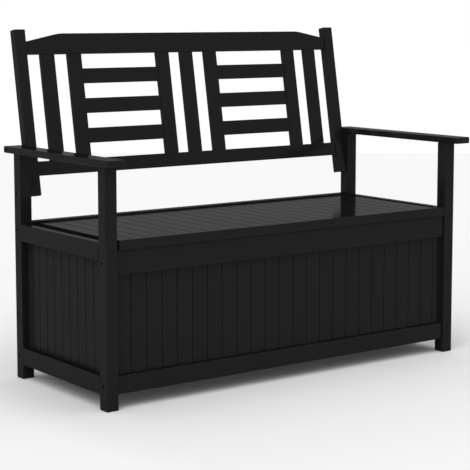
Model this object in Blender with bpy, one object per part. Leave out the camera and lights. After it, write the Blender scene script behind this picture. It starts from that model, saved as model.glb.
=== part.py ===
"""Garden storage bench: two side frames bolted to panelled rails, a tilted slatted back and a hinged lid.

Lengths are metres. Inside the model x runs from the left posts' outer face to the right, y from the front
posts' front face to the back, and z up from the ground. The whole bench hangs from one empty, which puts the
middle of its footprint at the world's origin.
"""

import math

import bmesh
import bpy
from mathutils import Vector

# Frame sizes
BENCH_WIDTH = 1.139
BENCH_DEPTH = 0.450
POST_SIDE = 0.033
SEAT_HEIGHT = 0.4124
ARM_TOP_HEIGHT = 0.608
BOARD_STOCK = 0.020
FIT_GAP = 0.0003
POST_ARRIS = 0.0015
RAIL_ARRIS = 0.0012

# Armrests
ARM_THICKNESS = 0.017
ARM_FRONT_OVERHANG = 0.041
ARM_STILE_COVER = 0.0015
ARM_OUTER_OVERHANG = 0.0185
ARM_CORNER_RADIUS = 0.004
ARM_ARRIS = 0.0018

# Rails of the storage box
LOW_RAIL_BOTTOM = 0.0376
LOW_RAIL_HEIGHT = 0.0457
FRONT_TOP_RAIL_HEIGHT = 0.0596
SIDE_RAIL_DROP = 0.0053
SIDE_TOP_RAIL_HEIGHT = 0.0439
REAR_TOP_RAIL_HEIGHT = 0.0445
RAIL_SETBACK = 0.0056

# Tongue-and-groove panels of the storage box
PANEL_THICKNESS = 0.010
PANEL_LAP = 0.010
GROOVE_WIDTH = 0.0032
GROOVE_DEPTH = 0.0018
FRONT_BOARD_PITCH = 0.04536
FRONT_FIRST_BOARD = 0.046
SIDE_BOARD_PITCH = 0.0385
SIDE_FIRST_BOARD = 0.0185
SIDE_PANEL_LAP = 0.031
SIDE_PANEL_THICKNESS = 0.009

# Floor of the storage box
FLOOR_THICKNESS = 0.009
FLOOR_CLEAT_SIDE = 0.018
FLOOR_CLEAT_RISE = 0.002
FLOOR_BOARD_PITCH = 0.090

# Lid
LID_HEIGHT = 0.0243
LID_LEFT_GAP = 0.0063
LID_RIGHT_GAP = 0.0015
LID_BOARD_INSET = 0.017
LID_BOARD_DROP = 0.0042
LID_BOARD_THICKNESS = 0.010
LID_BOARD_PITCH = 0.04536
LIPPING_DEPTH = 0.020
LIPPING_EDGE = 0.010
BATTEN_WIDTH = 0.045
BATTEN_END_GAP = 0.018

# Continuous hinge between the lid and the rear rail
HINGE_WALL = 0.0012
HINGE_BORE = 0.003
HINGE_SIDE_PLAY = 0.0003
HINGE_LEAF_HEIGHT = 0.021
HINGE_END_GAP = 0.012
HINGE_KNUCKLES = 25
HINGE_KNUCKLE_PLAY = 0.0004
HINGE_PIN_PLAY = 0.0003
HINGE_AXIS_DROP = 0.0024

# Backrest, measured in its own tilted frame
BACK_TILT = math.radians(10.06)
STILE_LEAD = 0.0074
STILE_WIDTH = 0.0317
STILE_DEPTH = 0.024
STILE_LOW_END = 0.0666
STILE_LENGTH = 0.4361
BACK_RAIL_SETBACK = 0.003
BACK_RAIL_THICKNESS = 0.014
BACK_TOP_RAIL_FOOT = 0.4371
BACK_TOP_RAIL_HEIGHT = 0.0547
BACK_TOP_RAIL_END_HEIGHT = 0.034
SHOULDER_RAMP = 0.085
SHOULDER_LENGTH = 0.115
BACK_LOW_RAIL_FOOT = 0.1186
BACK_LOW_RAIL_HEIGHT = 0.0373
SLAT_WIDTH = 0.0412
SLAT_GAP = 0.0408
BAY_END_GAP = 0.0384
UPRIGHT_THICKNESS = 0.012
CROSS_THICKNESS = 0.009
CROSS_WIDTH = 0.0399
CROSS_LIFT = 0.0008
CROSS_COUNT = 3
SLAT_ARRIS = 0.001
TENON_LENGTH = 0.012
TENON_THICKNESS = 0.006
TENON_SHOULDER = 0.005

# Bolts that hold the side frames to the rails and the stiles
BOLT_RADIUS = 0.003
BOLT_PLAY = 0.0003
BOLT_HEAD_RADIUS = 0.0058
BOLT_HEAD_HEIGHT = 0.0035
BOLT_HEAD_SINK = 0.0012
BOLT_SOCKET_RADIUS = 0.0026
BOLT_SOCKET_DEPTH = 0.0022
BOLT_BITE = 0.028
STILE_BOLT_RISE = 0.0734

# Paint and steel
BLACK_PAINT = (0.016, 0.016, 0.017)
INSIDE_PAINT = (0.013, 0.013, 0.014)
BLACK_STEEL = (0.020, 0.020, 0.021)
ZINC_STEEL = (0.42, 0.42, 0.43)

# Worked out from the sizes above
ARM_UNDERSIDE = ARM_TOP_HEIGHT - ARM_THICKNESS
POST_HEIGHT = ARM_UNDERSIDE - FIT_GAP
INNER_LEFT = POST_SIDE
INNER_RIGHT = BENCH_WIDTH - POST_SIDE
REAR_POST_FRONT = BENCH_DEPTH - POST_SIDE
FRONT_TOP_RAIL_TOP = SEAT_HEIGHT - LID_HEIGHT - FIT_GAP
SIDE_TOP_RAIL_TOP = SEAT_HEIGHT - SIDE_RAIL_DROP
FRONT_RAIL_BACK = RAIL_SETBACK + BOARD_STOCK
REAR_RAIL_BACK = BENCH_DEPTH - RAIL_SETBACK
REAR_RAIL_FRONT = REAR_RAIL_BACK - BOARD_STOCK
HINGE_RADIUS = HINGE_BORE / 2 + HINGE_WALL
HINGE_AXIS_Y = REAR_RAIL_FRONT - HINGE_SIDE_PLAY - HINGE_RADIUS
HINGE_AXIS_Z = SEAT_HEIGHT - HINGE_AXIS_DROP
LID_DEPTH = HINGE_AXIS_Y - HINGE_RADIUS - HINGE_SIDE_PLAY
BACK_FOOT = REAR_POST_FRONT - STILE_LEAD
STILE_BACK_AT_ARM = (BACK_FOOT + (ARM_TOP_HEIGHT - SEAT_HEIGHT) * math.tan(BACK_TILT)
                     + STILE_DEPTH / math.cos(BACK_TILT))
STILE_BOLT_HEIGHT = SEAT_HEIGHT + STILE_BOLT_RISE
STILE_TOP = STILE_LOW_END + STILE_LENGTH
BACK_TOP_Y = BACK_FOOT + STILE_TOP * math.sin(BACK_TILT) + STILE_DEPTH * math.cos(BACK_TILT)
FOOTPRINT_MIDDLE_Y = (BACK_TOP_Y - ARM_FRONT_OVERHANG) / 2


def clear_scene():
    """Start from an empty scene."""
    for item in list(bpy.data.objects):
        bpy.data.objects.remove(item, do_unlink=True)


def empty(name, parent=None, location=(0, 0, 0), tilt=0.0):
    """An empty that carries pieces; tilt turns it about x."""
    item = bpy.data.objects.new(name, None)
    bpy.context.collection.objects.link(item)
    item.parent = parent
    item.location = location
    item.rotation_euler = (tilt, 0, 0)
    return item


def paint(item, colour, roughness, metallic=0.0):
    """Give a piece its own finish."""
    material = bpy.data.materials.new(item.name + "_finish")
    material.use_nodes = True
    shader = material.node_tree.nodes["Principled BSDF"]
    shader.inputs["Base Color"].default_value = (*colour, 1.0)
    shader.inputs["Roughness"].default_value = roughness
    shader.inputs["Metallic"].default_value = metallic
    item.data.materials.append(material)


def make_object(name, work, parent, location):
    """Turn a bmesh into an object under its parent."""
    bmesh.ops.recalc_face_normals(work, faces=work.faces)
    mesh = bpy.data.meshes.new(name)
    work.to_mesh(mesh)
    work.free()
    item = bpy.data.objects.new(name, mesh)
    bpy.context.collection.objects.link(item)
    item.parent = parent
    item.location = location
    return item


def ease(item, width, segments=2):
    """Soften the outward arrises of a piece; inner corners stay square."""
    work = bmesh.new()
    work.from_mesh(item.data)
    weight = work.edges.layers.float.new("bevel_weight_edge")
    for edge in work.edges:
        edge[weight] = 1.0 if edge.calc_face_angle_signed(0) > math.radians(40) else 0.0
    work.to_mesh(item.data)
    work.free()
    bevel = item.modifiers.new("arris", "BEVEL")
    bevel.width = width
    bevel.segments = segments
    bevel.limit_method = "WEIGHT"


def cut(item, cutter):
    """Take one shape out of another."""
    cutter.hide_render = True
    cutter.display_type = "WIRE"
    boolean = item.modifiers.new("cut_" + cutter.name, "BOOLEAN")
    boolean.operation = "DIFFERENCE"
    boolean.solver = "EXACT"
    boolean.object = cutter


def box(name, low, high, parent):
    """A rectangular block between two corners, with its origin at its middle."""
    low = Vector(low)
    high = Vector(high)
    work = bmesh.new()
    bmesh.ops.create_cube(work, size=1.0)
    bmesh.ops.scale(work, vec=high - low, verts=work.verts)
    return make_object(name, work, parent, (low + high) / 2)


def extrusion(name, outline, run, place, parent):
    """Push a closed outline along a straight run; place turns an outline point into a 3-D one."""
    work = bmesh.new()
    corners = [work.verts.new(place(u, v)) for u, v in outline]
    face = work.faces.new(corners)
    pushed = bmesh.ops.extrude_face_region(work, geom=[face])
    moved = [part for part in pushed["geom"] if isinstance(part, bmesh.types.BMVert)]
    bmesh.ops.translate(work, vec=run, verts=moved)
    return make_object(name, work, parent, (0, 0, 0))


def add_block(work, low, high):
    """Add one rectangular block to a mesh that holds several."""
    low = Vector(low)
    high = Vector(high)
    made = bmesh.ops.create_cube(work, size=1.0)
    bmesh.ops.scale(work, vec=high - low, verts=made["verts"])
    bmesh.ops.translate(work, vec=(low + high) / 2, verts=made["verts"])


def skin(work, rings):
    """Join rings of points one after another and close both ends."""
    count = len(rings[0])
    for near, far in zip(rings, rings[1:]):
        for step in range(count):
            following = (step + 1) % count
            work.faces.new((near[step], near[following], far[following], far[step]))
    work.faces.new(rings[0][::-1])
    work.faces.new(rings[-1])


def turned(name, stations, sides, parent, location, turn=0.0):
    """A round piece on the x axis through its own origin: (x, radius) stations, with flat ends."""
    work = bmesh.new()
    rings = []
    for x, radius in stations:
        ring = []
        for step in range(sides):
            angle = turn + 2 * math.pi * step / sides
            ring.append(work.verts.new((x, radius * math.cos(angle), radius * math.sin(angle))))
        rings.append(ring)
    skin(work, rings)
    item = make_object(name, work, parent, location)
    item.data.shade_smooth()
    item.data.set_sharp_from_angle(angle=math.radians(35))
    return item


def grooved_outline(start, end, first, pitch, back, face):
    """Outline of boards laid side by side along u: flat at v = back, V-grooved at v = face.

    The first groove lies at start + first and the rest follow at the board pitch.
    """
    inward = GROOVE_DEPTH if back > face else -GROOVE_DEPTH
    points = [(start, back), (start, face)]
    middle = start + first
    while middle + GROOVE_WIDTH < end:
        points.append((middle - GROOVE_WIDTH / 2, face))
        points.append((middle, face + inward))
        points.append((middle + GROOVE_WIDTH / 2, face))
        middle += pitch
    points.append((end, face))
    points.append((end, back))
    return points


def first_board(width, pitch):
    """Width of the outer boards when as many full boards as fit are centred between them."""
    return (width - (math.floor(width / pitch) - 1) * pitch) / 2


def wood(item, arris=RAIL_ARRIS, inside=False):
    """Ease and paint a wooden piece."""
    if arris:
        ease(item, arris)
    paint(item, INSIDE_PAINT if inside else BLACK_PAINT, 0.42)
    return item


def make_posts(root):
    """Four square posts, which also stand on the ground as feet."""
    posts = {}
    for side, x in (("left", 0.0), ("right", INNER_RIGHT)):
        for end, y in (("front", 0.0), ("rear", REAR_POST_FRONT)):
            low = (x, y, 0)
            high = (x + POST_SIDE, y + POST_SIDE, POST_HEIGHT)
            posts[end, side] = wood(box(f"post_{end}_{side}", low, high, root), POST_ARRIS)
    return posts


def make_armrests(root):
    """Flat boards laid on the post tops, which run back past the stiles."""
    front = -ARM_FRONT_OVERHANG
    rear = STILE_BACK_AT_ARM + ARM_STILE_COVER
    spans = {
        "left": (-ARM_OUTER_OVERHANG, INNER_LEFT),
        "right": (INNER_RIGHT, BENCH_WIDTH + ARM_OUTER_OVERHANG),
    }
    arms = {}
    steps = 5
    for side, (x0, x1) in spans.items():
        radius = ARM_CORNER_RADIUS
        centres = [
            (x1 - radius, rear - radius),
            (x0 + radius, rear - radius),
            (x0 + radius, front + radius),
            (x1 - radius, front + radius),
        ]
        outline = []
        for corner, (cx, cy) in enumerate(centres):
            for step in range(steps + 1):
                angle = math.pi / 2 * (corner + step / steps)
                outline.append((cx + radius * math.cos(angle), cy + radius * math.sin(angle)))
        arm = extrusion(f"armrest_{side}", outline, (0, 0, ARM_THICKNESS),
                        lambda u, v: (u, v, ARM_UNDERSIDE), root)
        arms[side] = wood(arm, ARM_ARRIS)
    return arms


def make_side_walls(root):
    """Two rails flush with the posts' outer faces on each side, and a boarded panel behind them."""
    y0 = POST_SIDE + FIT_GAP
    y1 = REAR_POST_FRONT - FIT_GAP
    low_top = LOW_RAIL_BOTTOM + LOW_RAIL_HEIGHT
    high_foot = SIDE_TOP_RAIL_TOP - SIDE_TOP_RAIL_HEIGHT
    panel_foot = low_top - SIDE_PANEL_LAP
    panel_top = high_foot + SIDE_PANEL_LAP
    first = SIDE_FIRST_BOARD - FIT_GAP
    for side, outer, inward in (("left", 0.0, 1), ("right", BENCH_WIDTH, -1)):
        inner = outer + inward * BOARD_STOCK
        x0 = min(outer, inner)
        x1 = max(outer, inner)
        wood(box(f"side_rail_top_{side}", (x0, y0, high_foot), (x1, y1, SIDE_TOP_RAIL_TOP), root))
        wood(box(f"side_rail_bottom_{side}", (x0, y0, LOW_RAIL_BOTTOM), (x1, y1, low_top), root))
        face = inner + inward * FIT_GAP
        back = face + inward * SIDE_PANEL_THICKNESS
        outline = grooved_outline(y0, y1, first, SIDE_BOARD_PITCH, back, face)
        panel = extrusion(f"side_panel_{side}", outline, (0, 0, panel_top - panel_foot),
                          lambda u, v: (v, u, panel_foot), root)
        wood(panel, 0)


def rebated_rail(name, y_face, y_back, z0, z1, panel_above, root):
    """A rail along x with a rebate on its inner side that takes the edge of a panel."""
    inward = 1 if y_back > y_face else -1
    rebate = y_back - inward * (PANEL_THICKNESS + FIT_GAP)
    if panel_above:
        outline = [(y_face, z0), (y_back, z0), (y_back, z1 - PANEL_LAP), (rebate, z1 - PANEL_LAP),
                   (rebate, z1), (y_face, z1)]
    else:
        outline = [(y_face, z0), (rebate, z0), (rebate, z0 + PANEL_LAP), (y_back, z0 + PANEL_LAP),
                   (y_back, z1), (y_face, z1)]
    x0 = INNER_LEFT + FIT_GAP
    x1 = INNER_RIGHT - FIT_GAP
    rail = extrusion(name, outline, (x1 - x0, 0, 0), lambda u, v: (x0, u, v), root)
    return wood(rail)


def boarded_wall(name, y_face, y_back, foot, top, root):
    """Vertical boards between the posts, grooved on the outside."""
    x0 = INNER_LEFT + FIT_GAP
    x1 = INNER_RIGHT - FIT_GAP
    outline = grooved_outline(x0, x1, FRONT_FIRST_BOARD - FIT_GAP, FRONT_BOARD_PITCH, y_back, y_face)
    wall = extrusion(name, outline, (0, 0, top - foot), lambda u, v: (u, v, foot), root)
    return wood(wall, 0)


def make_front_and_rear_walls(root):
    """Rails bolted between the posts, each pair holding a boarded panel in its rebates."""
    low_top = LOW_RAIL_BOTTOM + LOW_RAIL_HEIGHT
    rails = {}
    front_foot = FRONT_TOP_RAIL_TOP - FRONT_TOP_RAIL_HEIGHT
    rear_foot = SEAT_HEIGHT - REAR_TOP_RAIL_HEIGHT
    rails["front_top"] = rebated_rail("front_rail_top", RAIL_SETBACK, FRONT_RAIL_BACK,
                                      front_foot, FRONT_TOP_RAIL_TOP, False, root)
    rails["front_bottom"] = rebated_rail("front_rail_bottom", RAIL_SETBACK, FRONT_RAIL_BACK,
                                         LOW_RAIL_BOTTOM, low_top, True, root)
    rails["rear_top"] = rebated_rail("rear_rail_top", REAR_RAIL_BACK, REAR_RAIL_FRONT,
                                     rear_foot, SEAT_HEIGHT, False, root)
    rails["rear_bottom"] = rebated_rail("rear_rail_bottom", REAR_RAIL_BACK, REAR_RAIL_FRONT,
                                        LOW_RAIL_BOTTOM, low_top, True, root)
    foot = low_top - PANEL_LAP + FIT_GAP
    boarded_wall("front_panel", FRONT_RAIL_BACK - PANEL_THICKNESS, FRONT_RAIL_BACK,
                 foot, front_foot + PANEL_LAP - FIT_GAP, root)
    boarded_wall("rear_panel", REAR_RAIL_FRONT + PANEL_THICKNESS, REAR_RAIL_FRONT,
                 foot, rear_foot + PANEL_LAP - FIT_GAP, root)
    return rails


def make_floor(root):
    """A boarded floor on two cleats, which are fixed along the lower rails."""
    x0 = INNER_LEFT + FIT_GAP
    x1 = INNER_RIGHT - FIT_GAP
    foot = LOW_RAIL_BOTTOM + FLOOR_CLEAT_RISE
    top = foot + FLOOR_CLEAT_SIDE
    y0 = FRONT_RAIL_BACK + FIT_GAP
    y1 = REAR_RAIL_FRONT - FIT_GAP
    wood(box("floor_cleat_front", (x0, y0, foot), (x1, y0 + FLOOR_CLEAT_SIDE, top), root), inside=True)
    wood(box("floor_cleat_rear", (x0, y1 - FLOOR_CLEAT_SIDE, foot), (x1, y1, top), root), inside=True)
    under = top + FIT_GAP
    outline = grooved_outline(x0, x1, FLOOR_BOARD_PITCH, FLOOR_BOARD_PITCH, under, under + FLOOR_THICKNESS)
    floor = extrusion("floor_panel", outline, (0, y1 - y0, 0), lambda u, v: (u, y0, v), root)
    wood(floor, 0, inside=True)


def make_lid(pivot):
    """Lid of boards on a rebated front rail and two battens, in the hinge's frame: y back, z up."""
    x0 = INNER_LEFT + LID_LEFT_GAP
    x1 = INNER_RIGHT - LID_RIGHT_GAP
    front = -HINGE_AXIS_Y
    rear = LID_DEPTH - HINGE_AXIS_Y
    top = HINGE_AXIS_DROP
    foot = top - LID_HEIGHT
    face = top - LID_BOARD_DROP
    under = face - LID_BOARD_THICKNESS
    shelf = under - FIT_GAP
    edge = front + LIPPING_EDGE
    inner = front + LIPPING_DEPTH
    outline = [(front, foot), (inner, foot), (inner, shelf), (edge, shelf), (edge, top), (front, top)]
    wood(extrusion("lid_rail_front", outline, (x1 - x0, 0, 0), lambda u, v: (x0, u, v), pivot))
    left = INNER_LEFT + LID_BOARD_INSET
    right = INNER_RIGHT - LID_BOARD_INSET
    y0 = edge + FIT_GAP
    first = first_board(right - left, LID_BOARD_PITCH)
    outline = grooved_outline(left, right, first, LID_BOARD_PITCH, under, face)
    wood(extrusion("lid_boards", outline, (0, rear - y0, 0), lambda u, v: (u, y0, v), pivot), 0)
    middle = (inner + rear - BATTEN_WIDTH) / 2
    for place, y in (("rear", rear - BATTEN_WIDTH), ("middle", middle - BATTEN_WIDTH / 2)):
        low = (left + BATTEN_END_GAP, y, foot)
        high = (right - BATTEN_END_GAP, y + BATTEN_WIDTH, shelf)
        wood(box(f"lid_batten_{place}", low, high, pivot), inside=True)


def leaf_outline(side):
    """Section of a hinge leaf on its axis: a plate that hangs at y > 0 (side 1) and its closed eye."""
    inner = HINGE_RADIUS - HINGE_WALL
    steps = 12
    last = -math.acos(inner / HINGE_RADIUS)
    points = [(side * HINGE_RADIUS, -HINGE_LEAF_HEIGHT)]
    for step in range(steps + 1):
        angle = step / steps * (2 * math.pi + last)
        points.append((side * HINGE_RADIUS * math.cos(angle), HINGE_RADIUS * math.sin(angle)))
    points.append((side * inner, -HINGE_LEAF_HEIGHT))
    return points


def make_hinge(root, pivot):
    """Continuous hinge: two leaves whose eyes alternate along one pin."""
    x0 = INNER_LEFT + LID_BOARD_INSET + HINGE_END_GAP
    x1 = INNER_RIGHT - LID_BOARD_INSET - HINGE_END_GAP
    length = x1 - x0
    pitch = length / HINGE_KNUCKLES
    reach = HINGE_RADIUS + HINGE_KNUCKLE_PLAY
    wide = reach + HINGE_WALL
    anchor = empty("hinge_axis", root, (0, HINGE_AXIS_Y, HINGE_AXIS_Z))
    bore = turned("hinge_bore", [(-length, HINGE_BORE / 2), (length, HINGE_BORE / 2)], 12,
                  anchor, ((x0 + x1) / 2, 0, 0))
    for name, side, parity, parent in (("hinge_leaf_fixed", 1, 1, anchor), ("hinge_leaf_lid", -1, 0, pivot)):
        leaf = extrusion(name, leaf_outline(side), (length, 0, 0), lambda u, v: (x0, u, v), parent)
        work = bmesh.new()
        for knuckle in range(parity, HINGE_KNUCKLES, 2):
            start = x0 + knuckle * pitch - HINGE_KNUCKLE_PLAY
            end = start + pitch + 2 * HINGE_KNUCKLE_PLAY
            if knuckle == 0:
                start -= pitch
            if knuckle == HINGE_KNUCKLES - 1:
                end += pitch
            add_block(work, (start, -wide, -reach), (end, wide, reach))
        gaps = make_object(name + "_gaps", work, parent, (0, 0, 0))
        cut(leaf, gaps)
        cut(leaf, bore)
        paint(leaf, BLACK_STEEL, 0.4, 1.0)
    radius = HINGE_BORE / 2 - HINGE_PIN_PLAY
    pin = turned("hinge_pin", [(x0, radius), (x1, radius)], 10, anchor, (0, 0, 0))
    paint(pin, ZINC_STEEL, 0.35, 1.0)


def shoulder(width):
    """Top line of the back's upper rail over half its width: a ramp that rounds into the level middle."""
    rise = BACK_TOP_RAIL_HEIGHT - BACK_TOP_RAIL_END_HEIGHT
    curve = SHOULDER_LENGTH - SHOULDER_RAMP
    slope = rise / (SHOULDER_RAMP + curve / 2)
    steps = 7
    points = [(0.0, BACK_TOP_RAIL_END_HEIGHT)]
    for step in range(steps + 1):
        along = curve * step / steps
        height = BACK_TOP_RAIL_END_HEIGHT + slope * (SHOULDER_RAMP + along - along * along / (2 * curve))
        points.append((SHOULDER_RAMP + along, height))
    mirrored = [(width - x, height) for x, height in reversed(points)]
    return points + mirrored


def make_back(root):
    """Backrest leaning on the rear posts: in its frame y is depth and z runs up the slope."""
    back = empty("back_frame", root, (0, BACK_FOOT, SEAT_HEIGHT), -BACK_TILT)
    stiles = {}
    left = INNER_LEFT + FIT_GAP
    right = INNER_RIGHT - FIT_GAP
    for side, x in (("left", left), ("right", right - STILE_WIDTH)):
        low = (x, 0, STILE_LOW_END)
        high = (x + STILE_WIDTH, STILE_DEPTH, STILE_TOP)
        stiles[side] = wood(box(f"back_stile_{side}", low, high, back))
    x0 = left + STILE_WIDTH + FIT_GAP
    x1 = right - STILE_WIDTH - FIT_GAP
    depth = BACK_RAIL_SETBACK
    rear = depth + BACK_RAIL_THICKNESS
    low_top = BACK_LOW_RAIL_FOOT + BACK_LOW_RAIL_HEIGHT
    outline = [(x1 - x0, 0.0), (0.0, 0.0)] + shoulder(x1 - x0)
    top_rail = extrusion("back_rail_top", outline, (0, BACK_RAIL_THICKNESS, 0),
                         lambda u, v: (x0 + u, depth, BACK_TOP_RAIL_FOOT + v), back)
    wood(top_rail)
    low_rail = wood(box("back_rail_bottom", (x0, depth, BACK_LOW_RAIL_FOOT), (x1, rear, low_top), back))
    make_slats(back, x0, x1, low_top + FIT_GAP, BACK_TOP_RAIL_FOOT - FIT_GAP, (top_rail, low_rail))
    return stiles


def tenoned_slat(name, low, high, along, parent):
    """A slat along one axis (0 or 2), with a tenon past the shoulder at each end."""
    low = Vector(low)
    high = Vector(high)
    across = 2 - along
    half = (high - low) / 2
    tenon = half.copy()
    tenon[across] -= TENON_SHOULDER
    tenon[1] = TENON_THICKNESS / 2
    shoulder_reach = half[along]
    tip = shoulder_reach + TENON_LENGTH
    stations = ((-tip, tenon), (-shoulder_reach, tenon), (-shoulder_reach, half),
                (shoulder_reach, half), (shoulder_reach, tenon), (tip, tenon))
    work = bmesh.new()
    rings = []
    for reach, section in stations:
        ring = []
        for u, v in ((-1, -1), (1, -1), (1, 1), (-1, 1)):
            corner = Vector((0, 0, 0))
            corner[along] = reach
            corner[across] = u * section[across]
            corner[1] = v * section[1]
            ring.append(work.verts.new(corner))
        rings.append(ring)
    skin(work, rings)
    return wood(make_object(name, work, parent, (low + high) / 2), SLAT_ARRIS)


def add_mortises(work, low, high, along):
    """Add the two holes that take a slat's tenons, a fit gap larger all round."""
    across = 2 - along
    middle = (low[1] + high[1]) / 2
    for end, outward in ((low[along], -1), (high[along], 1)):
        near = end - outward * TENON_LENGTH / 2
        far = end + outward * (TENON_LENGTH + FIT_GAP)
        start = [0, middle - TENON_THICKNESS / 2 - FIT_GAP, 0]
        stop = [0, middle + TENON_THICKNESS / 2 + FIT_GAP, 0]
        start[along] = min(near, far)
        stop[along] = max(near, far)
        start[across] = low[across] + TENON_SHOULDER - FIT_GAP
        stop[across] = high[across] - TENON_SHOULDER + FIT_GAP
        add_block(work, start, stop)


def make_slats(back, x0, x1, foot, top, rails):
    """Seven uprights tenoned into the rails, and three cross slats tenoned into each wide bay."""
    middle = BACK_RAIL_SETBACK + BACK_RAIL_THICKNESS / 2
    bay = (x1 - x0 - 7 * SLAT_WIDTH - 4 * SLAT_GAP - 2 * BAY_END_GAP) / 2
    gaps = [SLAT_GAP, SLAT_GAP, bay, BAY_END_GAP, SLAT_GAP, bay, BAY_END_GAP]
    x = x0
    uprights = []
    edges = []
    work = bmesh.new()
    for number, gap in enumerate(gaps):
        x += gap
        low = (x, middle - UPRIGHT_THICKNESS / 2, foot)
        high = (x + SLAT_WIDTH, middle + UPRIGHT_THICKNESS / 2, top)
        uprights.append(tenoned_slat(f"back_upright_{number + 1}", low, high, 2, back))
        add_mortises(work, low, high, 2)
        edges.append((x, x + SLAT_WIDTH))
        x += SLAT_WIDTH
    mortises = make_object("upright_mortises", work, back, (0, 0, 0))
    for rail in rails:
        cut(rail, mortises)
    space = (top - foot - CROSS_COUNT * CROSS_WIDTH) / (CROSS_COUNT + 1)
    work = bmesh.new()
    for side, before, after in (("left", 1, 2), ("right", 4, 5)):
        for number in range(CROSS_COUNT):
            z = top + CROSS_LIFT - (number + 1) * (CROSS_WIDTH + space)
            low = (edges[before][1] + FIT_GAP, middle - CROSS_THICKNESS / 2, z)
            high = (edges[after][0] - FIT_GAP, middle + CROSS_THICKNESS / 2, z + CROSS_WIDTH)
            tenoned_slat(f"back_cross_{side}_{number + 1}", low, high, 0, back)
            add_mortises(work, low, high, 0)
    mortises = make_object("cross_mortises", work, back, (0, 0, 0))
    for number in (1, 2, 4, 5):
        cut(uprights[number], mortises)


def bolt(name, outer, inward, grip, y, z, pieces, root):
    """A socket-head bolt along x, let into the outer face, and its hole through the pieces that it holds."""
    sink = BOLT_HEAD_SINK
    under = sink + BOLT_HEAD_HEIGHT
    tip = grip + BOLT_BITE
    stations = [(sink, BOLT_HEAD_RADIUS), (under, BOLT_HEAD_RADIUS), (under, BOLT_RADIUS), (tip, BOLT_RADIUS)]
    item = turned(name, [(inward * x, r) for x, r in stations], 14, root, (outer, y, z))
    ends = (inward * (sink - BOLT_SOCKET_DEPTH), inward * (sink + BOLT_SOCKET_DEPTH))
    socket = turned(name + "_socket", [(x, BOLT_SOCKET_RADIUS) for x in ends], 6, root, (outer, y, z))
    cut(item, socket)
    paint(item, BLACK_STEEL, 0.45, 1.0)
    bored = BOLT_RADIUS + BOLT_PLAY
    seat = BOLT_HEAD_RADIUS + BOLT_PLAY
    shoulder_x = under + BOLT_PLAY
    mouth = -BOLT_HEAD_HEIGHT
    hole_stations = [(mouth, seat), (shoulder_x, seat), (shoulder_x, bored), (tip + BOLT_PLAY, bored)]
    hole = turned(name + "_hole", [(inward * x, r) for x, r in hole_stations], 14, root, (outer, y, z))
    for piece in pieces:
        cut(piece, hole)


def make_bolts(root, posts, arms, rails, stiles):
    """Six bolts in each side frame: four into the rails and two into the stile of the backrest."""
    front_y = RAIL_SETBACK + BOARD_STOCK / 2
    rear_y = REAR_RAIL_FRONT + BOARD_STOCK / 2
    low_z = LOW_RAIL_BOTTOM + LOW_RAIL_HEIGHT / 2
    front_z = FRONT_TOP_RAIL_TOP - FRONT_TOP_RAIL_HEIGHT / 2
    rear_z = SEAT_HEIGHT - REAR_TOP_RAIL_HEIGHT / 2
    arm_z = ARM_UNDERSIDE + ARM_THICKNESS / 2
    stile_middle = BACK_FOOT + STILE_DEPTH / 2 / math.cos(BACK_TILT)
    arm_y = stile_middle + (arm_z - SEAT_HEIGHT) * math.tan(BACK_TILT)
    stile_y = stile_middle + (STILE_BOLT_HEIGHT - SEAT_HEIGHT) * math.tan(BACK_TILT)
    for side, outer, inward in (("left", 0.0, 1), ("right", BENCH_WIDTH, -1)):
        front = posts["front", side]
        rear = posts["rear", side]
        places = (
            ("front_top", front_y, front_z, front, rails["front_top"]),
            ("front_bottom", front_y, low_z, front, rails["front_bottom"]),
            ("rear_top", rear_y, rear_z, rear, rails["rear_top"]),
            ("rear_bottom", rear_y, low_z, rear, rails["rear_bottom"]),
            ("stile", stile_y, STILE_BOLT_HEIGHT, rear, stiles[side]),
        )
        for place, y, z, post, held in places:
            bolt(f"bolt_{place}_{side}", outer, inward, POST_SIDE, y, z, (post, held), root)
        edge = outer - inward * ARM_OUTER_OVERHANG
        grip = POST_SIDE + ARM_OUTER_OVERHANG
        bolt(f"bolt_armrest_{side}", edge, inward, grip, arm_y, arm_z, (arms[side], stiles[side]), root)


def build_bench():
    """Put the whole bench together."""
    clear_scene()
    root = empty("bench", None, (-BENCH_WIDTH / 2, -FOOTPRINT_MIDDLE_Y, 0))
    pivot = empty("lid_pivot", root, (0, HINGE_AXIS_Y, HINGE_AXIS_Z))
    posts = make_posts(root)
    arms = make_armrests(root)
    make_side_walls(root)
    rails = make_front_and_rear_walls(root)
    make_floor(root)
    make_lid(pivot)
    make_hinge(root, pivot)
    stiles = make_back(root)
    make_bolts(root, posts, arms, rails, stiles)


build_bench()
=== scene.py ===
"""Looks of the garden storage bench: satin black paint on planed wood, steel fittings and a white studio."""

import math

import bmesh
import bpy
from mathutils import Matrix, Vector


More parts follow.
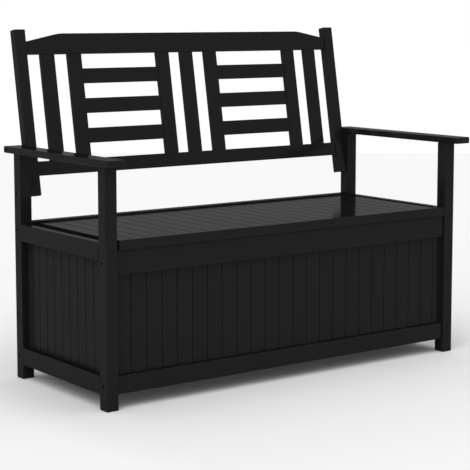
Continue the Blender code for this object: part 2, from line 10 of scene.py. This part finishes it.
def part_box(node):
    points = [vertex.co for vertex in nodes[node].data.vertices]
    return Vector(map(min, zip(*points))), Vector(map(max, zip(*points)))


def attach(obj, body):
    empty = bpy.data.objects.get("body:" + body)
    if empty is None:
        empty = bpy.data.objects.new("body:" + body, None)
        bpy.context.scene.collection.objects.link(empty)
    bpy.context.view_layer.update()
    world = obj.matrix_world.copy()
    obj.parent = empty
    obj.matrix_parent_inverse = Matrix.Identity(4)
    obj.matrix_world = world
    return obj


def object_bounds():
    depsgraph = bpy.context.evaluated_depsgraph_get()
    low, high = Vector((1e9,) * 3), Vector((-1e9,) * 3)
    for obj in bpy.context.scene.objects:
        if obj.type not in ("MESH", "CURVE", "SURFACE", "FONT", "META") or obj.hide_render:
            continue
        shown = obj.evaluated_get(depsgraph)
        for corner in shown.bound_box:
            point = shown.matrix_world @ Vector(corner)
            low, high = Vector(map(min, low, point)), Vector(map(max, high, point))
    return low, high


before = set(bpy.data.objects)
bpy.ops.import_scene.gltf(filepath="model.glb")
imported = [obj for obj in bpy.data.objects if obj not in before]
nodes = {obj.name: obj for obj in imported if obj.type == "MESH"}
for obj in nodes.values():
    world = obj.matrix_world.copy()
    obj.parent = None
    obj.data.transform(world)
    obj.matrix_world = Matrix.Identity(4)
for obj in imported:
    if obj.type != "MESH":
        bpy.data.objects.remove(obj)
cad_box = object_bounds()

# Camera, fitted to the photograph's edges
CAMERA_PLACE = (-2.4158, -3.2682, 0.9450)
CAMERA_YAW = 0.6354
CAMERA_PITCH = 0.1162
CAMERA_LENS = 115.97
CAMERA_SHIFT = (-0.0051, -0.0927)

# Paint: its darkest and palest tone, a painted highlight along an arris, painted shade on a face that lies
# level facing up, and painted shade deep in the joint between two boards
PAINT_DARK = (0.0100, 0.0100, 0.0103)
PAINT_PALE = (0.0132, 0.0132, 0.0136)
PAINT_EDGE_HIGHLIGHT = (0.024, 0.024, 0.025)
PAINT_TOP_SHADE = (0.0066, 0.0066, 0.0068)
PAINT_JOINT_SHADE = (0.0060, 0.0060, 0.0062)
PAINT_COAT = 0.135
PAINT_COAT_ROUGHNESS = 0.14
PAINT_ROUGHNESS = (0.38, 0.48)
PAINT_RELIEF = 0.00005
EDGE_HIGHLIGHT_SHARE = 0.35
ARRIS_WIDTH = 0.0016

# The side boards have less coat and a paler paint than the rest, painted light for the light that falls on
# the sides: as (coat, times as pale)
SIDE_BOARD_LIT_PAINT = (0.07, 1.55)

# Texture scale of the grain along a board and across it, and how far the grain of one piece is from the next
GRAIN_ALONG = 3.5
GRAIN_ACROSS = 230.0
GRAIN_STEP = 3.7

# Boards of the panels, in metres: their widths and where the first joint is from a panel's end
BOARD_WIDTH = 0.04536
BOARD_FIRST_JOINT = 0.0457
SIDE_BOARD_WIDTH = 0.0385
SIDE_BOARD_FIRST_JOINT = 0.0182
FLOOR_BOARD_WIDTH = 0.090

# Steel: relief of its coat, the width of the painted highlight along its edges, and the colours of its
# finishes
STEEL_RELIEF = 0.00002
STEEL_EDGE_WIDTH = 0.0006
BOLT_BLACK = (0.005, 0.005, 0.0055)
HINGE_BLACK = (0.006, 0.006, 0.0065)
SCREW_BLACK = (0.008, 0.008, 0.0085)
PIN_ZINC = (0.42, 0.42, 0.43)
SCREW_ZINC = (0.40, 0.40, 0.41)

# Small fasteners, as (radius, height) of their heads, and where they stand
HINGE_SCREW = (0.0026, 0.0007)
BATTEN_SCREW = (0.0036, 0.0006)
FLOOR_NAIL = (0.0019, 0.0004)
HINGE_SCREW_PITCH = 0.120
HINGE_SCREW_RISE = 0.0075
HINGE_LEAF_WALL = 0.0012
BATTEN_SCREW_OFFSET = 0.011
HEAD_STEPS = 24
HEAD_TURN = 0.65

# Studio: the surround's light, the floor's tone, its extra brightness as seen close to the bench and what is
# added to that farther off, how far it reaches along the view and across it, and the lamps as
# (name, direction towards the lamp, spread in degrees, strength)
SURROUND_LIGHT = 0.50
FLOOR_TONE = 0.80
FLOOR_GLOW = 0.03
FLOOR_FADE = 0.06
FLOOR_FADE_ACROSS = (0.15, 0.60)
FLOOR_FADE_RAMP = (0.4, 1.2)
FLOOR_GAP = 0.0004
FLOOR_FAR = 6.3
FLOOR_NEAR = -9.0
FLOOR_ASIDE = 9.0
LAMPS = (
    ("key_softbox", (-0.90, -0.60, 1.0), 50.0, 1.30),
    ("top_softbox", (0.1, -0.1, 1.0), 80.0, 0.90),
)


def add(tree, kind, place=(0, 0), **values):
    """Add a node and set its properties."""
    node = tree.nodes.new(kind)
    node.location = place
    for key, value in values.items():
        setattr(node, key, value)
    return node


def group_tree(name, inputs, outputs):
    """An empty shader group with its sockets; returns the tree and its two end nodes."""
    tree = bpy.data.node_groups.new(name, "ShaderNodeTree")
    for label, kind, value in inputs:
        socket = tree.interface.new_socket(name=label, in_out="INPUT", socket_type=kind)
        if value is not None:
            socket.default_value = value
    for label, kind in outputs:
        tree.interface.new_socket(name=label, in_out="OUTPUT", socket_type=kind)
    return tree, add(tree, "NodeGroupInput", (-900, 0)), add(tree, "NodeGroupOutput", (700, 0))


def planed_grain_group():
    """Brushed paint over planed wood: long streaks along the stretched direction, and slow clouds."""
    tree, start, end = group_tree(
        "planed grain",
        [("Place", "NodeSocketVector", None), ("Stretch", "NodeSocketVector", (1, 1, 1)),
         ("Shift", "NodeSocketFloat", 0.0)],
        [("Streaks", "NodeSocketFloat"), ("Clouds", "NodeSocketFloat"), ("Height", "NodeSocketFloat")])
    links = tree.links
    stretched = add(tree, "ShaderNodeVectorMath", (-700, 100), operation="MULTIPLY")
    links.new(start.outputs["Place"], stretched.inputs[0])
    links.new(start.outputs["Stretch"], stretched.inputs[1])
    streaks = add(tree, "ShaderNodeTexNoise", (-450, 200), noise_dimensions="4D")
    streaks.inputs["Scale"].default_value = 1.0
    streaks.inputs["Detail"].default_value = 5.0
    streaks.inputs["Roughness"].default_value = 0.62
    links.new(stretched.outputs[0], streaks.inputs["Vector"])
    links.new(start.outputs["Shift"], streaks.inputs["W"])
    clouds = add(tree, "ShaderNodeTexNoise", (-450, -100), noise_dimensions="4D")
    clouds.inputs["Scale"].default_value = 9.0
    clouds.inputs["Detail"].default_value = 3.0
    links.new(start.outputs["Place"], clouds.inputs["Vector"])
    links.new(start.outputs["Shift"], clouds.inputs["W"])
    pores = add(tree, "ShaderNodeTexNoise", (-450, -400), noise_dimensions="4D")
    pores.inputs["Scale"].default_value = 4.0
    pores.inputs["Detail"].default_value = 2.0
    links.new(stretched.outputs[0], pores.inputs["Vector"])
    links.new(start.outputs["Shift"], pores.inputs["W"])
    height = add(tree, "ShaderNodeMix", (-150, 0), data_type="FLOAT")
    height.inputs["Factor"].default_value = 0.3
    links.new(streaks.outputs["Fac"], height.inputs["A"])
    links.new(pores.outputs["Fac"], height.inputs["B"])
    links.new(streaks.outputs["Fac"], end.inputs["Streaks"])
    links.new(clouds.outputs["Fac"], end.inputs["Clouds"])
    links.new(height.outputs["Result"], end.inputs["Height"])
    return tree


def arris_highlight_group():
    """Where an arris is, for a painted highlight: a paler tone that stands in for the light an eased edge
    catches.
    """
    tree, start, end = group_tree(
        "arris highlight", [("Width", "NodeSocketFloat", 0.0015)], [("Edge", "NodeSocketFloat")])
    links = tree.links
    rounded = add(tree, "ShaderNodeBevel", (-650, 100), samples=4)
    links.new(start.outputs["Width"], rounded.inputs["Radius"])
    flat = add(tree, "ShaderNodeNewGeometry", (-650, -150))
    agreement = add(tree, "ShaderNodeVectorMath", (-400, 0), operation="DOT_PRODUCT")
    links.new(rounded.outputs["Normal"], agreement.inputs[0])
    links.new(flat.outputs["Normal"], agreement.inputs[1])
    edge = add(tree, "ShaderNodeMapRange", (-150, 0))
    edge.inputs["From Min"].default_value = 0.995
    edge.inputs["From Max"].default_value = 0.88
    links.new(agreement.outputs["Value"], edge.inputs["Value"])
    links.new(edge.outputs["Result"], end.inputs["Edge"])
    return tree


def board_number_group():
    """One random value for each board across a wall of boards laid side by side."""
    tree, start, end = group_tree(
        "board number",
        [("Across", "NodeSocketFloat", 0.0), ("First Joint", "NodeSocketFloat", 0.0),
         ("Board Width", "NodeSocketFloat", 0.05), ("Seed", "NodeSocketFloat", 0.0)],
        [("Random", "NodeSocketFloat"), ("Joint", "NodeSocketFloat")])
    links = tree.links
    offset = add(tree, "ShaderNodeMath", (-700, 100), operation="SUBTRACT")
    links.new(start.outputs["Across"], offset.inputs[0])
    links.new(start.outputs["First Joint"], offset.inputs[1])
    count = add(tree, "ShaderNodeMath", (-500, 100), operation="DIVIDE")
    links.new(offset.outputs[0], count.inputs[0])
    links.new(start.outputs["Board Width"], count.inputs[1])
    whole = add(tree, "ShaderNodeMath", (-300, 100), operation="FLOOR")
    links.new(count.outputs[0], whole.inputs[0])
    shifted = add(tree, "ShaderNodeMath", (-100, 100), operation="ADD")
    links.new(whole.outputs[0], shifted.inputs[0])
    links.new(start.outputs["Seed"], shifted.inputs[1])
    random = add(tree, "ShaderNodeTexWhiteNoise", (100, 100), noise_dimensions="1D")
    links.new(shifted.outputs[0], random.inputs["W"])
    links.new(random.outputs["Value"], end.inputs["Random"])
    part = add(tree, "ShaderNodeMath", (-300, -150), operation="PINGPONG")
    part.inputs[1].default_value = 0.5
    links.new(count.outputs[0], part.inputs[0])
    distance = add(tree, "ShaderNodeMath", (-100, -150), operation="MULTIPLY")
    links.new(part.outputs[0], distance.inputs[0])
    links.new(start.outputs["Board Width"], distance.inputs[1])
    # Joint: a mask at each joint between boards, where painted shade goes
    joint = add(tree, "ShaderNodeMapRange", (100, -150))
    joint.inputs["From Min"].default_value = 0.0020
    joint.inputs["From Max"].default_value = 0.0012
    links.new(distance.outputs[0], joint.inputs["Value"])
    links.new(joint.outputs["Result"], end.inputs["Joint"])
    return tree


def top_face_shade_group():
    """Where a piece's own upper side lies level and faces up: painted shade, a darker tone on upward faces.
    """
    tree, _, end = group_tree("top face shade", [], [("Level", "NodeSocketFloat")])
    links = tree.links
    where = add(tree, "ShaderNodeTexCoord", (-700, 0))
    parts = add(tree, "ShaderNodeSeparateXYZ", (-450, 0))
    links.new(where.outputs["Normal"], parts.inputs[0])
    level = add(tree, "ShaderNodeMapRange", (-200, 0))
    level.inputs["From Min"].default_value = 0.80
    level.inputs["From Max"].default_value = 0.97
    links.new(parts.outputs["Z"], level.inputs["Value"])
    links.new(level.outputs["Result"], end.inputs["Level"])
    return tree


GRAIN = planed_grain_group()
ARRIS_HIGHLIGHT = arris_highlight_group()
BOARDS = board_number_group()
TOP_FACE_SHADE = top_face_shade_group()


def place_group(tree, group, place, **values):
    """Put a shader group into a material and set its unlinked inputs."""
    node = add(tree, "ShaderNodeGroup", place, node_tree=group)
    for label, value in values.items():
        node.inputs[label.replace("_", " ")].default_value = value
    return node


def grain_stretch(axis):
    """Texture scale that is fine across a board and long along its grain."""
    return tuple(GRAIN_ALONG if axis == step else GRAIN_ACROSS for step in range(3))


def satin_paint(name, axis, boards=None, shift=0.0, coat=PAINT_COAT, body=1.0):
    """Satin black paint on wood with its grain along one axis.

    boards is (axis across, first joint, width), and body says how many times as pale the paint is; for the
    side boards that paler paint is painted light."""
    material = bpy.data.materials.new(name)
    material.use_nodes = True
    tree = material.node_tree
    links = tree.links
    shader = tree.nodes["Principled BSDF"]
    shader.inputs["IOR"].default_value = 1.5
    shader.inputs["Specular IOR Level"].default_value = 0.0
    shader.inputs["Coat Weight"].default_value = coat
    shader.inputs["Coat Roughness"].default_value = PAINT_COAT_ROUGHNESS
    where = add(tree, "ShaderNodeTexCoord", (-1400, 0))
    grain = place_group(tree, GRAIN, (-900, 0), Stretch=grain_stretch(axis), Shift=shift)
    links.new(where.outputs["Object"], grain.inputs["Place"])
    edge = place_group(tree, ARRIS_HIGHLIGHT, (-900, -300), Width=ARRIS_WIDTH)
    tone = add(tree, "ShaderNodeMix", (-500, 250), data_type="RGBA")
    # body above 1 makes the paint paler: painted light on the side boards
    tone.inputs["A"].default_value = (*[body * part for part in PAINT_DARK], 1)
    tone.inputs["B"].default_value = (*[body * part for part in PAINT_PALE], 1)
    tone_mask = add(tree, "ShaderNodeMath", (-700, 250), operation="MULTIPLY_ADD", use_clamp=True)
    tone_mask.inputs[1].default_value = 0.7
    tone_mask.inputs[2].default_value = 0.1
    tone_source = grain.outputs["Clouds"]
    gloss_mask = grain.outputs["Streaks"]
    if boards:
        across, joint, width = boards
        parts = add(tree, "ShaderNodeSeparateXYZ", (-1200, -200))
        links.new(where.outputs["Object"], parts.inputs[0])
        board = place_group(tree, BOARDS, (-1150, 250), First_Joint=joint, Board_Width=width, Seed=shift)
        links.new(parts.outputs[across], board.inputs["Across"])
        spread = add(tree, "ShaderNodeMath", (-950, 250), operation="MULTIPLY")
        spread.inputs[1].default_value = 40.0
        links.new(board.outputs["Random"], spread.inputs[0])
        links.new(spread.outputs[0], grain.inputs["Shift"])
        blended = add(tree, "ShaderNodeMix", (-700, 80), data_type="FLOAT")
        blended.inputs["Factor"].default_value = 0.25
        links.new(grain.outputs["Streaks"], blended.inputs["A"])
        links.new(board.outputs["Random"], blended.inputs["B"])
        tone_source = gloss_mask = blended.outputs["Result"]
    links.new(tone_source, tone_mask.inputs[0])
    links.new(tone_mask.outputs[0], tone.inputs["Factor"])
    laid = tone.outputs["Result"]
    # Painted shade deep in the joint between two boards
    if boards:
        joint_shaded = add(tree, "ShaderNodeMix", (-400, 420), data_type="RGBA")
        joint_shaded.inputs["B"].default_value = (*PAINT_JOINT_SHADE, 1)
        links.new(board.outputs["Joint"], joint_shaded.inputs["Factor"])
        links.new(laid, joint_shaded.inputs["A"])
        laid = joint_shaded.outputs["Result"]
    # Painted shade: a darker tone on faces that lie level and face up
    level = place_group(tree, TOP_FACE_SHADE, (-600, 600))
    top_shaded = add(tree, "ShaderNodeMix", (-250, 420), data_type="RGBA")
    top_shaded.inputs["B"].default_value = (*PAINT_TOP_SHADE, 1)
    links.new(level.outputs["Level"], top_shaded.inputs["Factor"])
    links.new(laid, top_shaded.inputs["A"])
    # Painted highlight: a paler tone along each arris
    edge_highlight = add(tree, "ShaderNodeMix", (-100, 200), data_type="RGBA")
    edge_highlight.inputs["B"].default_value = (*PAINT_EDGE_HIGHLIGHT, 1)
    edge_share = add(tree, "ShaderNodeMath", (-700, -300), operation="MULTIPLY")
    edge_share.inputs[1].default_value = EDGE_HIGHLIGHT_SHARE
    links.new(edge.outputs["Edge"], edge_share.inputs[0])
    links.new(edge_share.outputs[0], edge_highlight.inputs["Factor"])
    links.new(top_shaded.outputs["Result"], edge_highlight.inputs["A"])
    links.new(edge_highlight.outputs["Result"], shader.inputs["Base Color"])
    gloss = add(tree, "ShaderNodeMapRange", (-500, -50))
    gloss.inputs["From Min"].default_value = 0.25
    gloss.inputs["From Max"].default_value = 0.75
    gloss.inputs["To Min"].default_value = PAINT_ROUGHNESS[0]
    gloss.inputs["To Max"].default_value = PAINT_ROUGHNESS[1]
    links.new(gloss_mask, gloss.inputs["Value"])
    links.new(gloss.outputs["Result"], shader.inputs["Roughness"])
    relief = add(tree, "ShaderNodeBump", (-300, -300))
    relief.inputs["Strength"].default_value = 1.0
    relief.inputs["Distance"].default_value = PAINT_RELIEF
    links.new(grain.outputs["Height"], relief.inputs["Height"])
    links.new(relief.outputs["Normal"], shader.inputs["Normal"])
    return material


def coated_steel(name, colour, rough, metallic, gloss_level=0.5):
    """Steel with a thin even coat and a faint orange-peel surface."""
    material = bpy.data.materials.new(name)
    material.use_nodes = True
    tree = material.node_tree
    links = tree.links
    shader = tree.nodes["Principled BSDF"]
    shader.inputs["Metallic"].default_value = metallic
    shader.inputs["Specular IOR Level"].default_value = gloss_level
    where = add(tree, "ShaderNodeTexCoord", (-1200, 0))
    grain = place_group(tree, GRAIN, (-900, 0), Stretch=(900.0, 900.0, 900.0), Shift=3.0)
    links.new(where.outputs["Object"], grain.inputs["Place"])
    # Painted highlight: the steel's edges get a paler tone
    edge = place_group(tree, ARRIS_HIGHLIGHT, (-900, -300), Width=STEEL_EDGE_WIDTH)
    tone = add(tree, "ShaderNodeMix", (-500, 200), data_type="RGBA")
    tone.inputs["A"].default_value = (*colour, 1)
    tone.inputs["B"].default_value = (*[min(1.0, part * 1.8 + 0.01) for part in colour], 1)
    links.new(edge.outputs["Edge"], tone.inputs["Factor"])
    links.new(tone.outputs["Result"], shader.inputs["Base Color"])
    gloss = add(tree, "ShaderNodeMapRange", (-500, -50))
    gloss.inputs["To Min"].default_value = rough - 0.08
    gloss.inputs["To Max"].default_value = rough + 0.08
    links.new(grain.outputs["Clouds"], gloss.inputs["Value"])
    links.new(gloss.outputs["Result"], shader.inputs["Roughness"])
    relief = add(tree, "ShaderNodeBump", (-300, -300))
    relief.inputs["Distance"].default_value = STEEL_RELIEF
    links.new(grain.outputs["Height"], relief.inputs["Height"])
    links.new(relief.outputs["Normal"], shader.inputs["Normal"])
    return material


def finish_with(material, *names):
    """Give CAD pieces a finish."""
    for name in names:
        piece = nodes[name]
        for slot in piece.material_slots:
            slot.material = material


def boards_along_x(name, width):
    """First joint and width of boards that are centred between the ends of a piece."""
    low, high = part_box(name)
    span = high.x - low.x
    return 0, low.x + (span - (math.floor(span / width) - 1) * width) / 2, width


def dress_wood():
    """Paint every wooden piece, with the grain along its length."""
    upright = [name for name in nodes if name.startswith(("post_", "back_upright_", "back_stile_"))]
    level = [name for name in nodes
             if name.startswith(("front_rail_", "rear_rail_", "back_rail_", "back_cross_"))]
    fore_and_aft = [name for name in nodes if name.startswith(("armrest_", "side_rail_"))]
    for names, axis, first in ((upright, 2, 0), (level, 0, 50), (fore_and_aft, 1, 90)):
        for number, name in enumerate(sorted(names)):
            finish_with(satin_paint("paint_" + name, axis, shift=first + number * GRAIN_STEP), name)
    front_boards = (0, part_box("front_panel")[0].x + BOARD_FIRST_JOINT, BOARD_WIDTH)
    finish_with(satin_paint("paint_front_boards", 2, front_boards, 7.0), "front_panel")
    finish_with(satin_paint("paint_rear_boards", 2, front_boards, 17.0), "rear_panel")
    side = (1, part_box("side_panel_left")[0].y + SIDE_BOARD_FIRST_JOINT, SIDE_BOARD_WIDTH)
    # The side boards get a paler paint: painted light for the light that falls on the sides
    finish_with(satin_paint("paint_left_boards", 2, side, 27.0, *SIDE_BOARD_LIT_PAINT), "side_panel_left")
    finish_with(satin_paint("paint_right_boards", 2, side, 37.0, *SIDE_BOARD_LIT_PAINT), "side_panel_right")
    lid = boards_along_x("lid_boards", BOARD_WIDTH)
    finish_with(satin_paint("paint_lid_boards", 1, lid, 47.0), "lid_boards")
    finish_with(satin_paint("paint_lid_rail", 0, shift=57.0), "lid_rail_front")
    finish_with(satin_paint("paint_lid_battens", 0, shift=61.0), "lid_batten_rear", "lid_batten_middle")
    floor = (0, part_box("floor_panel")[0].x + FLOOR_BOARD_WIDTH, FLOOR_BOARD_WIDTH)
    finish_with(satin_paint("paint_floor_boards", 1, floor, 67.0), "floor_panel")
    finish_with(satin_paint("paint_cleats", 0, shift=71.0), "floor_cleat_front", "floor_cleat_rear")


def dress_steel():
    """Black bolts and hinge leaves, and a bright pin."""
    bolts = [name for name in nodes if name.startswith("bolt_")]
    leaves = coated_steel("black_hinge", HINGE_BLACK, 0.55, 0.0, gloss_level=0.1)
    finish_with(coated_steel("blackened_bolts", BOLT_BLACK, 0.36, 1.0), *bolts)
    finish_with(leaves, "hinge_leaf_fixed", "hinge_leaf_lid")
    finish_with(coated_steel("zinc_pin", PIN_ZINC, 0.30, 1.0), "hinge_pin")


def head_shape(radius, height, crossed):
    """Corners and faces of one fastener's head that faces up: a low dome, with a cross recess in a screw."""
    shape = bmesh.new()
    rings = []
    for share, lift in ((1.0, -0.0002), (1.0, 0.0), (0.86, 0.7 * height), (0.62, height)):
        rings.append([shape.verts.new((share * radius * math.cos(math.tau * step / HEAD_STEPS),
                                       share * radius * math.sin(math.tau * step / HEAD_STEPS), lift))
                      for step in range(HEAD_STEPS)])
    for lower, upper in zip(rings, rings[1:]):
        for step in range(HEAD_STEPS):
            after = (step + 1) % HEAD_STEPS
            shape.faces.new((lower[step], lower[after], upper[after], upper[step]))
    shape.faces.new(rings[0][::-1])
    if crossed:
        arm, half = 0.46 * radius, 0.12 * radius
        outline = ((arm, -half), (arm, half), (half, half), (half, arm), (-half, arm), (-half, half),
                   (-arm, half), (-arm, -half), (-half, -half), (-half, -arm), (half, -arm), (half, -half))
        mouth = [shape.verts.new((x, y, height)) for x, y in outline]
        foot = [shape.verts.new((0.8 * x, 0.8 * y, 0.3 * height)) for x, y in outline]
        pairs = [(step, (step + 1) % len(outline)) for step in range(len(outline))]
        around = [shape.edges.new((mouth[step], mouth[after])) for step, after in pairs]
        around += [shape.edges.get((rings[-1][step], rings[-1][(step + 1) % HEAD_STEPS]))
                   for step in range(HEAD_STEPS)]
        bmesh.ops.triangle_fill(shape, use_beauty=True, edges=around, normal=(0, 0, 1))
        for step, after in pairs:
            shape.faces.new((mouth[step], mouth[after], foot[after], foot[step]))
        shape.faces.new(foot)
    else:
        shape.faces.new(rings[-1])
    bmesh.ops.recalc_face_normals(shape, faces=shape.faces)
    shape.verts.index_update()
    corners = [vert.co.copy() for vert in shape.verts]
    faces = [[vert.index for vert in face.verts] for face in shape.faces]
    shape.free()
    return corners, faces


def set_heads(name, body, material, spots, facing, size, crossed=True):
    """Drive a row of screws or nails: one head at each spot, each turned a little further than the last."""
    corners, faces = head_shape(*size, crossed)
    turn = Vector(facing).to_track_quat("Z", "Y").to_matrix()
    all_corners, all_faces = [], []
    for number, spot in enumerate(spots):
        spin = turn @ Matrix.Rotation(HEAD_TURN * number, 3, "Z")
        start = len(all_corners)
        all_corners += [spin @ corner + Vector(spot) for corner in corners]
        all_faces += [[start + index for index in face] for face in faces]
    mesh = bpy.data.meshes.new(name)
    mesh.from_pydata(all_corners, [], all_faces)
    mesh.materials.append(material)
    piece = bpy.data.objects.new(name, mesh)
    bpy.context.scene.collection.objects.link(piece)
    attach(piece, body)


def spaced(pitch, count):
    """Places along the width, centred on the bench."""
    return [pitch * (step - (count - 1) / 2) for step in range(count)]


def drive_fasteners():
    """Screws in both hinge leaves and up through the battens, and nails through the floor into its cleats."""
    black = coated_steel("blackened_screws", SCREW_BLACK, 0.36, 1.0)
    bright = coated_steel("zinc_screws", SCREW_ZINC, 0.32, 1.0)
    low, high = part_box("hinge_leaf_fixed")
    set_heads("hinge_screws_fixed", "frame", black,
              [(x, high.y - HINGE_LEAF_WALL, low.z + HINGE_SCREW_RISE) for x in spaced(HINGE_SCREW_PITCH, 9)],
              (0, -1, 0), HINGE_SCREW)
    low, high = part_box("hinge_leaf_lid")
    set_heads("hinge_screws_lid", "lid", black,
              [(x, low.y + HINGE_LEAF_WALL, low.z + HINGE_SCREW_RISE) for x in spaced(HINGE_SCREW_PITCH, 8)],
              (0, 1, 0), HINGE_SCREW)
    for name in ("lid_batten_middle", "lid_batten_rear"):
        low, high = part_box(name)
        middle = (low.y + high.y) / 2
        set_heads(name + "_screws", "lid", bright,
                  [(x, middle + (BATTEN_SCREW_OFFSET if number % 2 else -BATTEN_SCREW_OFFSET), low.z)
                   for number, x in enumerate(spaced(2 * BOARD_WIDTH, 11))],
                  (0, 0, -1), BATTEN_SCREW)
    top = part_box("floor_panel")[1].z
    spots = []
    for name in ("floor_cleat_front", "floor_cleat_rear"):
        low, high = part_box(name)
        spots += [(x, (low.y + high.y) / 2, top) for x in spaced(FLOOR_BOARD_WIDTH / 2, 22)]
    set_heads("floor_nails", "frame", bright, spots, (0, 0, 1), FLOOR_NAIL, crossed=False)


def seen_as_white(tree, place):
    """1 for rays that should meet a white studio: from the camera, off a gloss or through glass."""
    path = add(tree, "ShaderNodeLightPath", place)
    first = add(tree, "ShaderNodeMath", (place[0] + 200, place[1]), operation="MAXIMUM")
    second = add(tree, "ShaderNodeMath", (place[0] + 400, place[1]), operation="MAXIMUM")
    tree.links.new(path.outputs["Is Camera Ray"], first.inputs[0])
    tree.links.new(path.outputs["Is Glossy Ray"], first.inputs[1])
    tree.links.new(first.outputs[0], second.inputs[0])
    tree.links.new(path.outputs["Is Transmission Ray"], second.inputs[1])
    return second.outputs[0]


def floor_glow(tree, place):
    """Brightness that is added to the floor as seen, rising with the distance from the bench's footprint."""
    x, y = place
    low, high = cad_box
    half = ((high[0] - low[0]) / 2, (high[1] - low[1]) / 2, 0.0)
    steps = (("ABSOLUTE", None), ("SUBTRACT", half), ("MAXIMUM", (0.0, 0.0, 0.0)),
             ("DIVIDE", (*FLOOR_FADE_ACROSS, 1.0)), ("MULTIPLY", (1.0, 1.0, 0.0)), ("LENGTH", None))
    where = add(tree, "ShaderNodeNewGeometry", (x, y))
    source = where.outputs["Position"]
    for number, (operation, value) in enumerate(steps):
        step = add(tree, "ShaderNodeVectorMath", (x + 180 * (number + 1), y), operation=operation)
        tree.links.new(source, step.inputs[0])
        if value:
            step.inputs[1].default_value = value
        source = step.outputs["Value" if operation == "LENGTH" else "Vector"]
    ramp = add(tree, "ShaderNodeMapRange", (x + 1300, y))
    ramp.inputs["From Min"].default_value = FLOOR_FADE_RAMP[0]
    ramp.inputs["From Max"].default_value = FLOOR_FADE_RAMP[1]
    ramp.inputs["To Min"].default_value = FLOOR_GLOW
    ramp.inputs["To Max"].default_value = FLOOR_GLOW + FLOOR_FADE
    tree.links.new(source, ramp.inputs["Value"])
    return ramp.outputs["Result"]


def build_studio():
    """A pale floor, an even white surround and two soft lamps."""
    world = bpy.data.worlds.new("studio_surround")
    bpy.context.scene.world = world
    world.use_nodes = True
    tree = world.node_tree
    light = tree.nodes["Background"]
    light.inputs["Color"].default_value = (1, 1, 1, 1)
    light.inputs["Strength"].default_value = SURROUND_LIGHT
    white = add(tree, "ShaderNodeBackground", (0, -200))
    white.inputs["Color"].default_value = (1, 1, 1, 1)
    white.inputs["Strength"].default_value = 1.0
    mix = add(tree, "ShaderNodeMixShader", (250, 0))
    tree.links.new(seen_as_white(tree, (-600, 200)), mix.inputs["Fac"])
    tree.links.new(light.outputs[0], mix.inputs[1])
    tree.links.new(white.outputs[0], mix.inputs[2])
    tree.links.new(mix.outputs[0], tree.nodes["World Output"].inputs["Surface"])

    mesh = bpy.data.meshes.new("studio_floor")
    along = Vector((math.sin(CAMERA_YAW), math.cos(CAMERA_YAW), 0.0))
    across = Vector((math.cos(CAMERA_YAW), -math.sin(CAMERA_YAW), 0.0))
    corners = ((FLOOR_NEAR, -FLOOR_ASIDE), (FLOOR_NEAR, FLOOR_ASIDE), (FLOOR_FAR, FLOOR_ASIDE),
               (FLOOR_FAR, -FLOOR_ASIDE))
    mesh.from_pydata([along * a + across * b for a, b in corners], [], [(0, 1, 2, 3)])
    floor = bpy.data.objects.new("studio_floor", mesh)
    floor.location.z = -FLOOR_GAP
    bpy.context.scene.collection.objects.link(floor)
    material = bpy.data.materials.new("studio_floor_white")
    material.use_nodes = True
    tree = material.node_tree
    shader = tree.nodes["Principled BSDF"]
    shader.inputs["Base Color"].default_value = (FLOOR_TONE, FLOOR_TONE, FLOOR_TONE, 1)
    shader.inputs["Roughness"].default_value = 0.9
    shader.inputs["Specular IOR Level"].default_value = 0.0
    shader.inputs["Emission Color"].default_value = (1, 1, 1, 1)
    glow = add(tree, "ShaderNodeMath", (-200, -300), operation="MULTIPLY")
    tree.links.new(seen_as_white(tree, (-800, -300)), glow.inputs[0])
    tree.links.new(floor_glow(tree, (-1700, -600)), glow.inputs[1])
    tree.links.new(glow.outputs[0], shader.inputs["Emission Strength"])
    mesh.materials.append(material)

    for name, source, spread, strength in LAMPS:
        data = bpy.data.lights.new(name, "SUN")
        data.angle = math.radians(spread)
        data.energy = strength
        lamp = bpy.data.objects.new(name, data)
        lamp.location = Vector(source) * 3
        lamp.rotation_euler = (-Vector(source)).to_track_quat("-Z", "Y").to_euler()
        bpy.context.scene.collection.objects.link(lamp)


def place_camera():
    """The photograph's viewpoint."""
    data = bpy.data.cameras.new("photo_camera")
    data.lens = CAMERA_LENS
    data.sensor_width = 36.0
    data.shift_x, data.shift_y = CAMERA_SHIFT
    data.clip_end = 60.0
    camera = bpy.data.objects.new("photo_camera", data)
    camera.location = CAMERA_PLACE
    camera.rotation_euler = (math.pi / 2 - CAMERA_PITCH, 0.0, -CAMERA_YAW)
    bpy.context.scene.collection.objects.link(camera)
    bpy.context.scene.camera = camera


dress_wood()
dress_steel()
drive_fasteners()
build_studio()
place_camera()
bpy.context.scene.view_settings.view_transform = "Standard"
